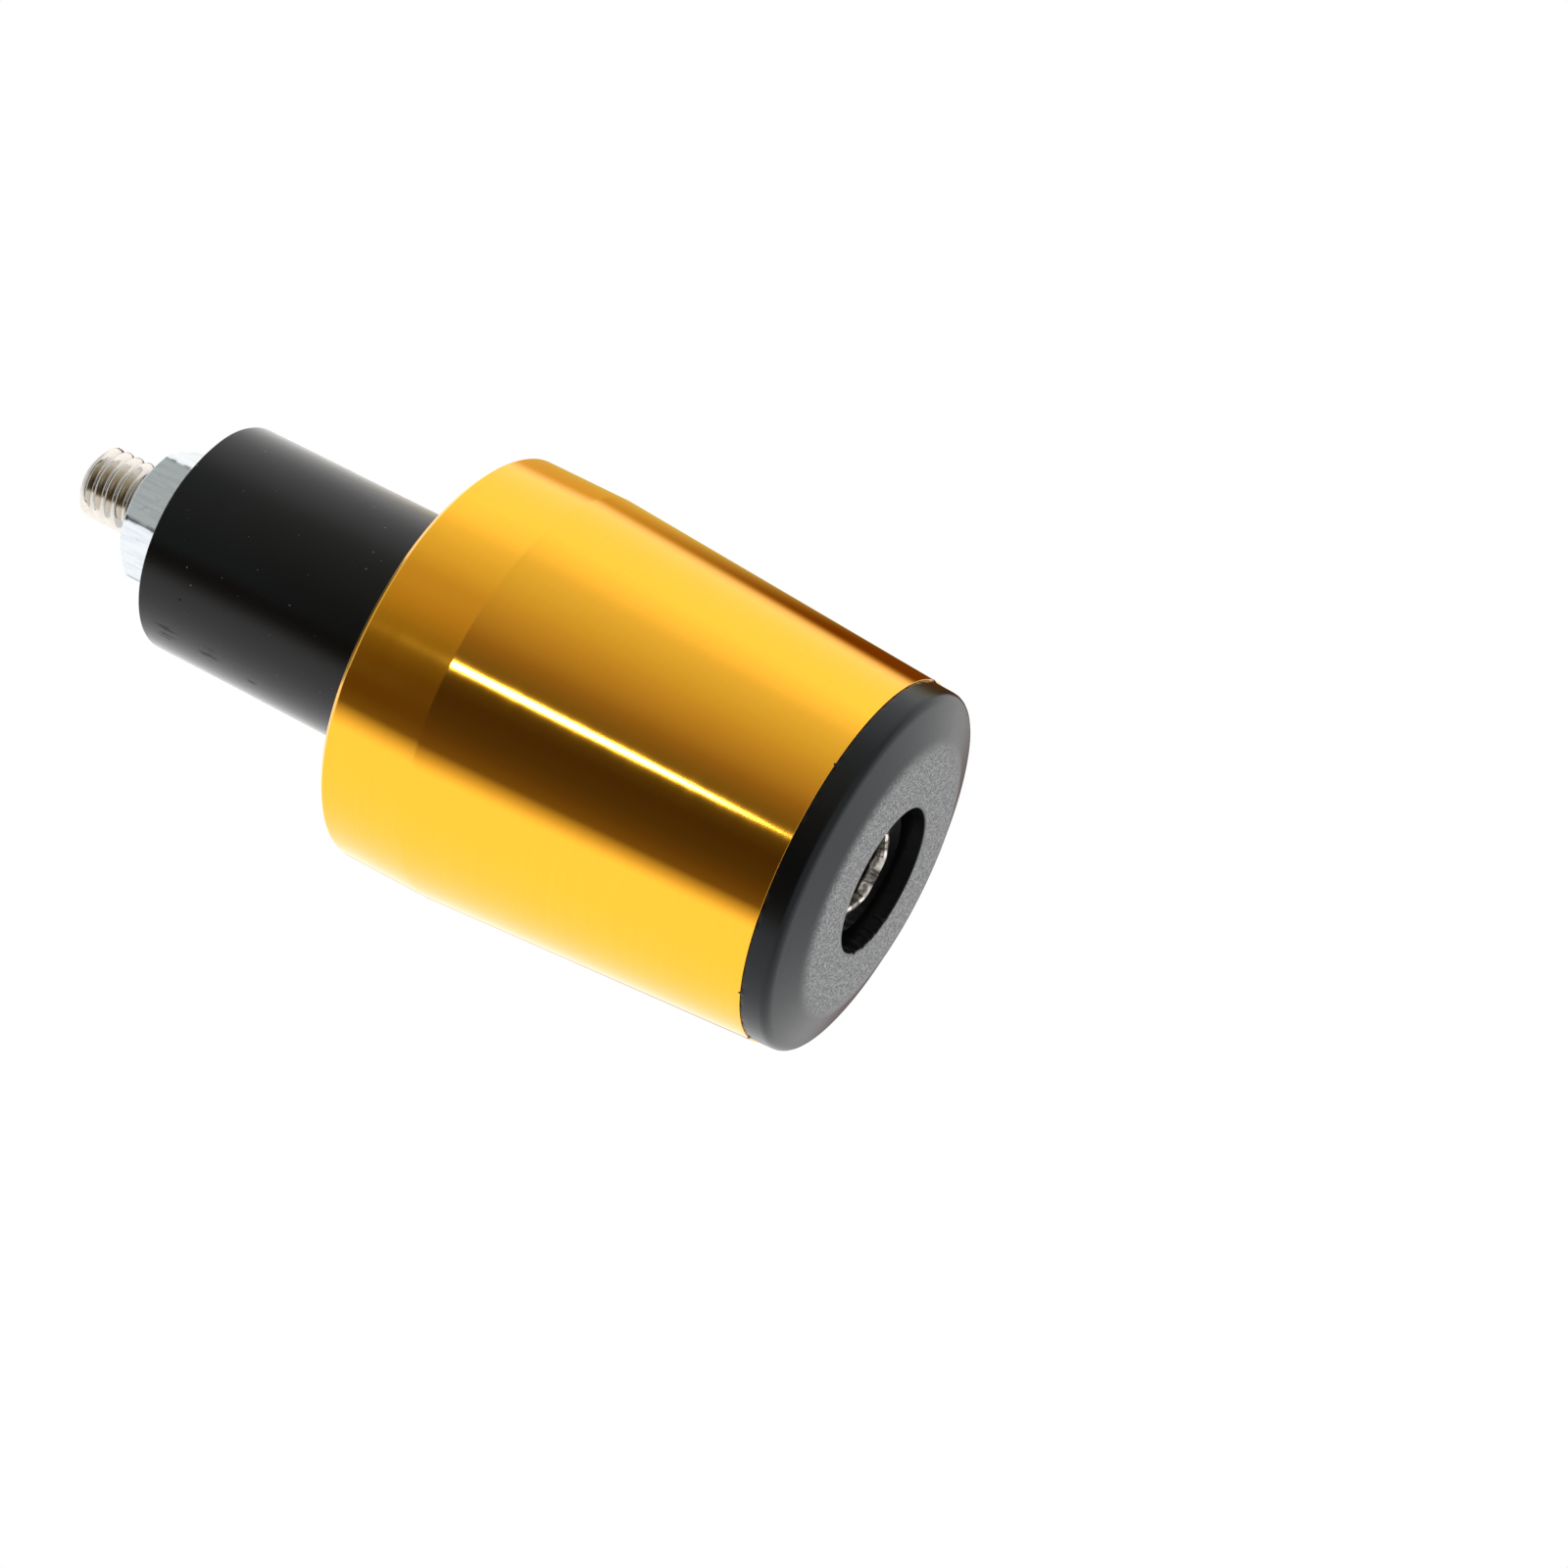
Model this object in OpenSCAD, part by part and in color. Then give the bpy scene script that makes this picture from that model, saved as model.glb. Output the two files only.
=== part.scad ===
// Bar end weight: a tapered barrel with a moulded end cap, held in the end of a
// handlebar by a rubber plug of two sleeves that a through screw squeezes.
// The part stands on its end cap: z = 0 is the flat of the cap, and +Z runs
// along the screw, out of the cap and into the handlebar.

/* [Barrel] */
// Diameter of the plain band that meets the handlebar
barrel_d = 33; // [31:0.1:40]
// Diameter where the barrel meets the end cap
barrel_tip_d = 29; // [27:0.1:31]
// Length of the barrel between the end cap and its face on the handlebar
barrel_l = 34.8; // [30:0.1:38]
// Length of the plain band, before the taper starts
band_l = 7.4; // [4:0.1:14]
// Chamfer round the face on the handlebar
band_chamfer = 0.4; // [0.2:0.05:1.2]
// Edge break of the rim at the end cap
tip_break = 0.15; // [0.05:0.05:0.4]

/* [End cap] */
// How far the end cap stands out of the barrel
cap_h = 3.1; // [2.2:0.1:5]
// Step from the barrel's rim in to the side of the cap
cap_step = 0.1; // [0:0.05:0.5]
// Diameter of the flat that the cap stands on
cap_face_d = 21.5; // [16:0.1:25]
// Height of the slope between the flat and the side
cap_slope_h = 1.05; // [0.4:0.05:1.6]
// Draft of the side of the cap, in degrees
cap_draft = 3; // [0:0.5:6]
// Radius where the slope turns into the side
cap_edge_r = 0.45; // [0.2:0.05:0.8]
// Diameter of the hole that shows the screw's head
cap_hole_d = 11.6; // [10.6:0.1:13]
// Break of the hole's edge
cap_hole_break = 0.12; // [0.05:0.01:0.3]
// Diameter of the spigot that centres the cap in the barrel
spigot_d = 20; // [17:0.1:23]
// Floor of the cap, squeezed under the screw's head
cap_floor = 2; // [1.2:0.1:4]

/* [Screw] */
// Diameter of the shank
screw_d = 6; // [5.8:0.05:6.2]
// Outside diameter of the thread
thread_d = 5.9; // [5.6:0.05:6]
// Length under the head
screw_l = 65; // [63:0.5:75]
// Length of the thread
thread_l = 24; // [16:1:40]
// Diameter of the head
head_d = 10; // [9:0.1:10.4]
// Height of the head
head_h = 4.4; // [3.6:0.1:6]
// Depth of the head below the flat of the cap
head_sink = 1.4; // [0.6:0.1:3]
// Width across the flats of the key socket
socket_af = 5; // [4:0.5:6]
// Depth of the key socket
socket_depth = 2.6; // [1.6:0.1:3]
// Width of the bevel round the mouth of the socket
socket_bevel = 0.32; // [0.1:0.02:0.5]
// Chamfer at the end of the thread
thread_point = 0.3; // [0.2:0.05:0.9]

/* [Flange nut] */
// Width across the flats of the nut
nut_af = 10; // [9:0.1:11]
// Height of the nut with its flange
nut_h = 6; // [5:0.1:8]
// Diameter of the flange
flange_d = 14.2; // [13:0.1:15]
// Height of the flange where it meets the flats
flange_h = 1.95; // [1.4:0.05:2.6]
// Slope of the six faces on the flange, in degrees
flange_slope = 22; // [10:1:26]
// Diameter of the flat on top of the nut
nut_top_d = 8.8; // [8:0.1:9.6]
// Turn of the nut against the key socket, in degrees
nut_turn = 11.6; // [0:0.2:60]

/* [Rubber plug] */
// Length of both sleeves
sleeve_l = 22; // [18:0.1:24]
// Outside diameter of the plug, which enters the handlebar
plug_d = 18.7; // [17.8:0.1:22]
// Wall of the outer sleeve
outer_wall = 0.9; // [0.6:0.05:1.2]
// Depth of the spot face in the barrel that the plug stands on
spot_depth = 0.1; // [0.05:0.05:0.15]
// Depth that the flange sinks into the inner sleeve
flange_sink = 0.6; // [0.2:0.05:1]
// Radius of the lip that the rubber forms round the flange
lip_r = 0.4; // [0.1:0.05:0.5]

/* [Fits] */
// Gap round the screw in the cap, the barrel and the inner sleeve
screw_gap = 0.3; // [0.1:0.05:0.5]
// Gap round the spigot in the barrel
spigot_gap = 0.08; // [0.04:0.02:0.3]
// Gap left between the end of the spigot and the floor of its recess
spigot_end_gap = 0.2; // [0.1:0.05:0.5]
// Gap round the plug in its spot face
spot_gap = 0.1; // [0.05:0.05:0.3]
// Gap between the two sleeves
sleeve_gap = 0.1; // [0.04:0.02:0.25]
// Gap between the flange and the lip
lip_gap = 0.08; // [0.04:0.02:0.3]
// Gap between the thread and the nut
thread_gap = 0.03; // [0.02:0.01:0.1]

/* [Hidden] */

ROUND_FN = 96;
ARC_STEPS = 6;
HEX = 6;
// Overlap of a cutting shape past the face that it cuts
CUT = 0.5;
// Slope of the chamfer on top of a hexagon nut
NUT_CHAMFER = 30;
// Slope of the bevel round the mouth of a key socket
SOCKET_SLOPE = 45;
// Countersink at each end of a nut's bore
NUT_SINK = 0.45;
// Small edge breaks that turned and headed parts have
EDGE = 0.3;

barrel_r = barrel_d / 2;
tip_r = barrel_tip_d / 2;
cap_r = tip_r - cap_step;
cap_edge_x = cap_r - (cap_h - cap_slope_h) * tan(cap_draft);
hole_r = cap_hole_d / 2;
spigot_r = spigot_d / 2;
recess_r = spigot_r + spigot_gap;
shank_r = screw_d / 2;
clear_r = shank_r + screw_gap;
head_r = head_d / 2;
flange_r = flange_d / 2;
plug_r = plug_d / 2;
spot_r = plug_r + spot_gap;
outer_bore_r = plug_r - outer_wall;
inner_r = outer_bore_r - sleeve_gap;
seat_r = flange_r + lip_gap;
nut_bore_r = thread_d / 2 + thread_gap;
nut_corner_r = nut_af / 2 / cos(180 / HEX);

// Stations along the screw, from the flat of the cap upwards
head_seat_z = head_sink + head_h;
spigot_z = head_seat_z + cap_floor;
recess_z = spigot_z + spigot_end_gap;
bar_face_z = cap_h + barrel_l;
band_z = bar_face_z - band_l;
plug_z = bar_face_z - spot_depth;
plug_end_z = plug_z + sleeve_l;
nut_z = plug_end_z - flange_sink;
thread_z = head_seat_z + screw_l - thread_l;
screw_end_z = head_seat_z + screw_l;

function unit(v) = v / norm(v);
function turned(v, angle) = [
    v.x * cos(angle) - v.y * sin(angle),
    v.x * sin(angle) + v.y * cos(angle)
];

// Points of an arc of radius r that rounds the corner between two straight edges
function rounded(before, corner, after, r) =
    let (
        back = unit(before - corner),
        ahead = unit(after - corner),
        half = acos(back * ahead) / 2,
        centre = corner + unit(back + ahead) * r / sin(half),
        start = corner + back * r / tan(half) - centre,
        sweep = (180 - 2 * half) * sign(cross(-back, ahead))
    )
    [for (i = [0 : ARC_STEPS]) centre + turned(start, sweep * i / ARC_STEPS)];

// A turned shape from its half section, with x as the radius and y as the height
module turned_shape(section) {
    rotate_extrude($fn = ROUND_FN)
        polygon(section);
}

module hexagon_bar(af, h) {
    cylinder(h = h, r = af / 2 / cos(180 / HEX), $fn = HEX);
}

// Six planes that lean in by slope and are af apart at height z, over a hexagon
// with its corner on +X; each plane is one face of a large block
module six_slopes(af, z, slope) {
    reach = 2 * (af + z);
    intersection_for (i = [0 : HEX - 1])
        rotate([0, 0, (i + 0.5) * 360 / HEX])
            translate([af / 2, 0, z])
                rotate([0, slope, 0])
                    translate([-reach, -reach, -2 * reach])
                        cube(2 * reach);
}

// Turned aluminium barrel: a plain band, one long taper, a bore for the screw,
// a spot face under the rubber plug and a recess for the spigot of the end cap
module barrel() {
    color("goldenrod")
        turned_shape([
            [tip_r - tip_break, cap_h],
            [tip_r, cap_h + tip_break],
            [barrel_r, band_z],
            [barrel_r, bar_face_z - band_chamfer],
            [barrel_r - band_chamfer, bar_face_z],
            [spot_r, bar_face_z],
            [spot_r, plug_z],
            [clear_r + EDGE, plug_z],
            [clear_r, plug_z - EDGE],
            [clear_r, recess_z],
            [recess_r, recess_z],
            [recess_r, cap_h + EDGE],
            [recess_r + EDGE, cap_h]
        ]);
}

// Moulded end cap: a flat with a shallow slope round it, a side that carries on
// the barrel's taper, a pocket for the screw's head and a spigot
module end_cap() {
    face_edge = [cap_face_d / 2, 0];
    side_edge = [cap_edge_x, cap_slope_h];
    color("dimgray")
        turned_shape(concat(
            [
                [hole_r, cap_hole_break],
                [hole_r + cap_hole_break, 0],
                face_edge
            ],
            rounded(face_edge, side_edge, [cap_r, cap_h], cap_edge_r),
            [
                [cap_r, cap_h],
                [spigot_r, cap_h],
                [spigot_r, spigot_z - EDGE],
                [spigot_r - EDGE, spigot_z],
                [clear_r, spigot_z],
                [clear_r, head_seat_z],
                [hole_r, head_seat_z]
            ]
        ));
}

// Socket screw through the whole part; its thread is drawn at the outside diameter
module screw() {
    color("silver")
        difference() {
            turned_shape(concat(
                [[0, head_sink]],
                rounded([0, head_sink], [head_r, head_sink], [head_r, head_seat_z], EDGE),
                [
                    [head_r, head_seat_z],
                    [shank_r, head_seat_z],
                    [shank_r, thread_z],
                    [thread_d / 2, thread_z + EDGE],
                    [thread_d / 2, screw_end_z - thread_point],
                    [thread_d / 2 - thread_point, screw_end_z],
                    [0, screw_end_z]
                ]
            ));
            key_socket();
        }
}

module key_socket() {
    translate([0, 0, head_sink - CUT])
        hexagon_bar(socket_af, socket_depth + CUT);
    intersection() {
        translate([0, 0, head_sink])
            six_slopes(socket_af, socket_bevel, SOCKET_SLOPE);
        translate([0, 0, head_sink - CUT])
            cylinder(h = socket_bevel + CUT, r = socket_af, $fn = ROUND_FN);
    }
}

// Flange nut: six sloping faces run out from the flats to a round flange
module flange_nut() {
    color("lightsteelblue")
        translate([0, 0, nut_z])
            rotate([0, 0, nut_turn])
                difference() {
                    union() {
                        nut_hexagon();
                        nut_flange();
                    }
                    nut_bore();
                }
}

// Hexagon whose corners are cut by a cone down from the flat on top
module nut_hexagon() {
    cone_r = nut_top_d / 2 + nut_corner_r;
    cone_z = nut_h - nut_corner_r * tan(NUT_CHAMFER);
    tip_z = nut_h + CUT;
    intersection() {
        hexagon_bar(nut_af, nut_h);
        turned_shape([
            [0, -CUT],
            [cone_r, -CUT],
            [cone_r, cone_z],
            [nut_top_d / 2 - CUT / tan(NUT_CHAMFER), tip_z],
            [0, tip_z]
        ]);
    }
}

module nut_flange() {
    intersection() {
        cylinder(h = flange_h + CUT, r = flange_r, $fn = ROUND_FN);
        six_slopes(nut_af, flange_h, flange_slope);
    }
}

module nut_bore() {
    turned_shape([
        [0, -CUT],
        [nut_bore_r + NUT_SINK + CUT, -CUT],
        [nut_bore_r, NUT_SINK],
        [nut_bore_r, nut_h - NUT_SINK],
        [nut_bore_r + NUT_SINK + CUT, nut_h + CUT],
        [0, nut_h + CUT]
    ]);
}

// Inner rubber sleeve on the screw; its end bulges into a lip round the flange
module inner_sleeve() {
    lip_foot = [seat_r, nut_z];
    lip_edge = [seat_r, plug_end_z];
    rim = [inner_r, plug_end_z];
    color([0.13, 0.13, 0.14])
        turned_shape(concat(
            [
                [clear_r, plug_z],
                [inner_r, plug_z],
                rim
            ],
            rounded(rim, lip_edge, lip_foot, lip_r),
            [
                lip_foot,
                [clear_r, nut_z]
            ]
        ));
}

// Outer rubber sleeve, a plain cut tube over the inner one
module outer_sleeve() {
    color([0.17, 0.17, 0.18])
        turned_shape([
            [outer_bore_r, plug_z],
            [plug_r, plug_z],
            [plug_r, plug_end_z],
            [outer_bore_r, plug_end_z]
        ]);
}

barrel();
end_cap();
screw();
flange_nut();
inner_sleeve();
outer_sleeve();
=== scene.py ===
"""Bar end weight: turned gold barrel, moulded end cap, socket screw and rubber plug.

The part stands on its end cap, with +Z along the screw. Sizes in the classes
are in millimetres; every mesh is written in metres, in the frame of the model.
"""

import logging
import math
from dataclasses import dataclass, field
from enum import Enum
from typing import Any, Optional, Sequence, Union

import bpy
import numpy as np
from mathutils import Matrix, Vector


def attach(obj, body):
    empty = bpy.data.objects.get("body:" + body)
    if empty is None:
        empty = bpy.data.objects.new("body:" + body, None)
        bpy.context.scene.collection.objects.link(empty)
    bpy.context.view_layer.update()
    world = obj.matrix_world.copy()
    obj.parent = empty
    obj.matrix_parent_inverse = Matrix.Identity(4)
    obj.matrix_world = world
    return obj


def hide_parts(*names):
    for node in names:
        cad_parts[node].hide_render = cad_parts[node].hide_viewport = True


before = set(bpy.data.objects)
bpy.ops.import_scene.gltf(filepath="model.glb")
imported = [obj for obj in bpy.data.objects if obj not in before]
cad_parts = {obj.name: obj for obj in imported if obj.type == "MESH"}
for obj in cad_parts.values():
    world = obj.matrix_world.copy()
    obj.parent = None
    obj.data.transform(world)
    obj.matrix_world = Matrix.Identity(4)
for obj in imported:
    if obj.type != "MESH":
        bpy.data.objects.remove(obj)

LOG = logging.getLogger("bar_end_weight")
MM = 0.001
BODY = "root"
WELD = 1e-5  # millimetres within which two points are one
GUARD = 0.04  # millimetres from the end of a straight to its next point
GUARD_SHARE = 0.2  # the most of a straight that this may be
ROUNDING_ROWS = 6  # rows over a rounded corner
RIPPLE_WAVES = 8  # waves that a ripple sums
RIPPLE_SUM = 3.0  # height of that sum that counts as 1
SPOT_CORE = 0.4  # share of a spot's reach that is whole
Number = Union[float, np.ndarray]
Span = tuple[float, float]
Triple = tuple[float, float, float]


class Finish(Enum):
    """The record's material slots, one for each piece of the part."""

    BARREL = "barrel"
    END_CAP = "end_cap"
    SCREW = "screw"
    FLANGE_NUT = "flange_nut"
    INNER_SLEEVE = "inner_sleeve"
    OUTER_SLEEVE = "outer_sleeve"


# Shader maths


class Value:
    """A node socket that shader maths can be written with."""

    def __init__(self, bench: "Bench", socket: bpy.types.NodeSocket) -> None:
        """Keep the socket and the node tree that it belongs to."""
        self.bench = bench
        self.socket = socket

    def _math(self, operation: str, *terms: Any) -> "Value":
        """Add one Math node that works on the given terms."""
        return self.bench.add("ShaderNodeMath", {"operation": operation}, dict(enumerate(terms)))

    def __add__(self, other: Any) -> "Value":
        """self + other."""
        return self._math("ADD", self, other)

    def __radd__(self, other: Any) -> "Value":
        """other + self."""
        return self._math("ADD", other, self)

    def __sub__(self, other: Any) -> "Value":
        """self - other."""
        return self._math("SUBTRACT", self, other)

    def __rsub__(self, other: Any) -> "Value":
        """other - self."""
        return self._math("SUBTRACT", other, self)

    def __mul__(self, other: Any) -> "Value":
        """self * other."""
        return self._math("MULTIPLY", self, other)

    def __rmul__(self, other: Any) -> "Value":
        """other * self."""
        return self._math("MULTIPLY", other, self)

    def __truediv__(self, other: Any) -> "Value":
        """self / other."""
        return self._math("DIVIDE", self, other)

    def __pow__(self, other: Any) -> "Value":
        """self to the power of other."""
        return self._math("POWER", self, other)

    def largest(self, other: Any) -> "Value":
        """The larger of the two."""
        return self._math("MAXIMUM", self, other)

    def sine(self) -> "Value":
        """Sine of an angle in radians."""
        return self._math("SINE", self)

    def arcsine(self) -> "Value":
        """Angle in radians whose sine this is."""
        return self._math("ARCSINE", self)

    def length_with(self, other: "Value") -> "Value":
        """Length of the vector that has the two as its sides: sqrt(a*a + b*b)."""
        return (self * self + other * other) ** 0.5

    def angle_from(self, other: "Value") -> "Value":
        """Angle of the point (other, self) round the axis, in radians."""
        return self._math("ARCTAN2", self, other)

    def between(self, low: float, high: float) -> "Value":
        """Smooth step from 0 at low to 1 at high; it falls where high is below low.

        Args:
            low: The value that gives 0.
            high: The value that gives 1.

        Returns:
            The step, held at 0 and 1 outside the two.
        """
        rising = high > low
        span = (low, high) if rising else (high, low)
        step = self.bench.add(
            "ShaderNodeMapRange",
            {"interpolation_type": "SMOOTHSTEP"},
            {"Value": self, "From Min": span[0], "From Max": span[1]},
        )
        return step if rising else 1.0 - step


class Bench:
    """A node tree with one way to add a node."""

    def __init__(self, tree: bpy.types.NodeTree) -> None:
        """Empty the tree and keep it."""
        self.tree = tree
        tree.nodes.clear()

    def add(
        self,
        kind: str,
        settings: Optional[dict[str, Any]] = None,
        sockets: Optional[dict[Union[str, int], Any]] = None,
        out: Union[str, int] = 0,
    ) -> Value:
        """Add a node.

        Args:
            kind: The node's type name.
            settings: Properties that are set first; "stops" fills a ramp.
            sockets: A value or a link for each input, by name or number.
            out: The output that is handed back.

        Returns:
            The chosen output of the new node.
        """
        node = self.tree.nodes.new(kind)
        for name, setting in (settings or {}).items():
            if name == "stops":
                self._fill_ramp(node.color_ramp, setting)
            else:
                setattr(node, name, setting)
        for name, given in (sockets or {}).items():
            if isinstance(given, Value):
                self.tree.links.new(given.socket, node.inputs[name])
            else:
                node.inputs[name].default_value = given
        outputs = node.outputs
        return Value(self, outputs[out] if len(outputs) else node.inputs[0])

    @staticmethod
    def _fill_ramp(ramp: bpy.types.ColorRamp, stops: Sequence[tuple[float, Any]]) -> None:
        """Give a new ramp its stops.

        Args:
            ramp: The ramp, with the two stops that it comes with.
            stops: In order, each a place and a grey or a colour.
        """
        while len(ramp.elements) < len(stops):
            ramp.elements.new(0.5)
        for element, (place, shade) in zip(ramp.elements, stops):
            element.position = place
            element.color = rgba(shade)

    def turned(self) -> tuple[Value, ...]:
        """Object coordinates, their x, y and z, and the distance from the axis."""
        place = self.add("ShaderNodeTexCoord", out="Object")
        x, y, z = self.split(place)
        return place, x, y, z, x.length_with(y)

    def split(self, vector: Value) -> tuple[Value, Value, Value]:
        """The three parts of a vector."""
        first = self.add("ShaderNodeSeparateXYZ", sockets={0: vector})
        outputs = first.socket.node.outputs
        return tuple(Value(self, outputs[i]) for i in range(3))

    def join(self, x: Any, y: Any, z: Any) -> Value:
        """A vector of three values."""
        return self.add("ShaderNodeCombineXYZ", sockets={0: x, 1: y, 2: z})

    def mix(self, share: Any, first: Any, second: Any) -> Value:
        """A colour between two greys, colours or links, by share."""
        shades = {0: share, 6: rgba(first), 7: rgba(second)}
        return self.add("ShaderNodeMix", {"data_type": "RGBA"}, shades, out=2)

    def ramp(self, place: Value, stops: Sequence[tuple[float, Any]]) -> Value:
        """A colour ramp, even between its stops, read at place."""
        return self.add("ShaderNodeValToRGB", {"stops": stops}, {0: place})

    def cloud(self, vector: Value, scale: float, detail: float = 2.0, rough: float = 0.5) -> Value:
        """Noise from about 0.2 to 0.8, at scale features in a unit of the vector."""
        return self.add(
            "ShaderNodeTexNoise",
            sockets={"Vector": vector, "Scale": scale, "Detail": detail, "Roughness": rough},
        )

    def bump(self, height: Value, depth: float) -> Value:
        """A bumped normal; depth is in metres for a height of 1."""
        return self.add("ShaderNodeBump", sockets={"Height": height, "Distance": depth, "Strength": 1.0})

    def spot(self, place: Value, polar: Triple, reach: float) -> Value:
        """A soft dot on a turned surface.

        Args:
            place: Object coordinates.
            polar: Its angle in degrees, then its radius and height in millimetres.
            reach: How far from its middle it fades out, in millimetres.

        Returns:
            1 in the middle of the dot and 0 past its reach.
        """
        a, radius, z = math.radians(polar[0]), polar[1] * MM, polar[2] * MM
        middle = (radius * math.cos(a), radius * math.sin(a), z)
        far = self.add(
            "ShaderNodeVectorMath", {"operation": "DISTANCE"}, {0: place, 1: middle}, out="Value"
        )
        return far.between(reach * MM, reach * SPOT_CORE * MM)

    def surface(self, **sockets: Any) -> None:
        """Wire a Principled shader to the output.

        Args:
            **sockets: A value or a link for each input; underscores are spaces.
        """
        named = {name.replace("_", " "): given for name, given in sockets.items()}
        shader = self.add("ShaderNodeBsdfPrincipled", sockets=named)
        self.add("ShaderNodeOutputMaterial", sockets={"Surface": shader})


def rgba(shade: Any) -> Any:
    """A grey or a colour of three parts, with alpha; a link stays as it is."""
    parts = (shade,) * 3 if isinstance(shade, (int, float)) else shade
    return shade if isinstance(shade, Value) else (*parts, 1.0)


def put(name: str, data: Any) -> bpy.types.Object:
    """Add an object to the scene.

    Args:
        name: Its name.
        data: Its mesh, light or camera.

    Returns:
        The object.
    """
    made = bpy.data.objects.new(name, data)
    bpy.context.scene.collection.objects.link(made)
    return made


def material(name: str) -> tuple[bpy.types.Material, Bench]:
    """Make a material.

    Args:
        name: Its name.

    Returns:
        The material and the bench for its nodes.
    """
    made = bpy.data.materials.new(name)
    made.use_nodes = True
    return made, Bench(made.node_tree)


# Surfaces


@dataclass(frozen=True)
class Corner:
    """A corner of a half section.

    r and z are its radius and height, each one number or one for every angle.
    soft is how far from the corner its rounding starts, and step is the
    greatest spacing of the points up to the next corner.
    """

    r: Number
    z: Number
    soft: float = 0.0
    step: float = 0.5


def half_section(corners: Sequence[Corner], columns: int, closed: bool) -> np.ndarray:
    """Points of a half section, for every angle at once.

    A straight from P to Q is P + (Q - P) * t at evenly spaced t, with one more
    point close to each end that keeps the rounding out of the straight's
    shading. A soft corner C with the points A before and B after it is the
    parabola (1 - t)^2 A + 2 t (1 - t) C + t^2 B.

    Args:
        corners: The corners, anticlockwise with the radius to the right.
        columns: The number of angles.
        closed: Whether the last corner joins the first.

    Returns:
        An array of rows, columns and (r, z).
    """
    pairs = [[np.broadcast_to(c.r, columns), np.broadcast_to(c.z, columns)] for c in corners]
    points = np.moveaxis(np.array(pairs, float), 1, 2)
    ahead = np.roll(points, -1, axis=0) - points
    reach = np.linalg.norm(ahead, axis=-1, keepdims=True)
    ahead = ahead / np.maximum(reach, 1e-9)
    back = -np.roll(ahead, 1, axis=0)
    rows: list[np.ndarray] = []
    count = len(corners)
    for i, corner in enumerate(corners):
        ends = not closed and i in (0, count - 1)
        soft = 0.0 if ends else corner.soft
        here = points[i]
        leaves = here + ahead[i] * soft
        if soft > 0:
            t = np.linspace(0, 1, ROUNDING_ROWS)[:, None, None]
            enters = here + back[i] * soft
            rows.append((1 - t) ** 2 * enters + 2 * t * (1 - t) * here + t**2 * leaves)
        else:
            rows.append(here[None])
        if not closed and i == count - 1:
            break
        following = corners[(i + 1) % count]
        last = not closed and i + 1 == count - 1
        arrives = points[(i + 1) % count] + back[(i + 1) % count] * (0.0 if last else following.soft)
        pieces = max(1, int(np.ceil(reach[i].max() / corner.step)))
        guard = min(GUARD_SHARE, GUARD / reach[i].max())
        t = np.unique(np.append(np.linspace(0, 1, pieces + 1)[1:-1], [guard, 1 - guard]))[:, None, None]
        rows.append(leaves + (arrives - leaves) * t)
    if closed:
        rows.append(rows[0][:1])
    return np.concatenate(rows)


def angles(columns: int) -> np.ndarray:
    """Evenly spaced angles round the axis, in radians."""
    return np.arange(columns) * 2 * np.pi / columns


def turn(section: np.ndarray) -> np.ndarray:
    """Carry a half section round the axis: x = r cos a, y = r sin a, z = z."""
    a, r, z = angles(section.shape[1]), section[..., 0], section[..., 1]
    return np.stack([r * np.cos(a), r * np.sin(a), z], -1)


def ripple(
    a: np.ndarray, seed: int, waves: tuple[int, int], z: Number = 0.0, rise: float = 0.0
) -> np.ndarray:
    """A smooth wave round a turned shape, which closes on itself.

    It is the sum of cos(n a + m z + p) over a few random whole n between the
    two waves, with random m up to rise and random p, over a fixed height.

    Args:
        a: Angles round the axis, in radians.
        seed: The seed of the random draws.
        waves: The fewest and the most waves in a turn.
        z: Heights, in millimetres.
        rise: The most that a wave turns over a millimetre of height, in radians.

    Returns:
        The wave, held within -1 and 1.
    """
    dice = np.random.default_rng(seed)
    total = np.zeros(np.broadcast(a, z).shape)
    for _ in range(RIPPLE_WAVES):
        n = dice.integers(waves[0], waves[1] + 1)
        m, p = dice.uniform(-rise, rise), dice.uniform(0, 2 * np.pi)
        total = total + np.cos(n * a + m * z + p)
    return np.clip(total / RIPPLE_SUM, -1, 1)


def towards_flat(a: np.ndarray, rounding: float) -> np.ndarray:
    """Reach of a unit radius to the nearest of six flats: the p-norm of |cos(a - flat)|."""
    flats = np.radians([30, 90, 150])[:, None]
    return (np.abs(np.cos(a[None, :] - flats)) ** rounding).sum(0) ** (1 / rounding)


def window(x: np.ndarray, low: float, high: float, soft: float) -> np.ndarray:
    """1 between low and high and 0 outside; each end is the step t * t * (3 - 2 t) over soft."""
    both = np.clip((x - low) / soft + 0.5, 0, 1) * np.clip((high - x) / soft + 0.5, 0, 1)
    return both * both * (3 - 2 * both)


@dataclass(frozen=True)
class Patch:
    """A grid of points that runs round the axis.

    points are rows, columns and (x, y, z), in millimetres. shift is how many
    rows the grid has climbed after one turn, which is 0 for a turned shape and
    one pitch of rows for a thread.
    """

    points: np.ndarray
    shift: int = 0

    def quads(self) -> np.ndarray:
        """Join each row to the next, and the last column to the first.

        Returns:
            Four point numbers for each face, in the order that faces out.
        """
        rows, columns = self.points.shape[:2]
        index = np.arange(rows * columns).reshape(rows, columns)
        inner = [index[:-1, :-1], index[:-1, 1:], index[1:, 1:], index[1:, :-1]]
        top = rows - self.shift
        seam = [index[: top - 1, -1], index[self.shift : -1, 0], index[self.shift + 1 :, 0], index[1:top, -1]]
        return np.concatenate([np.stack(inner, -1).reshape(-1, 4), np.stack(seam, -1)])


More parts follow.
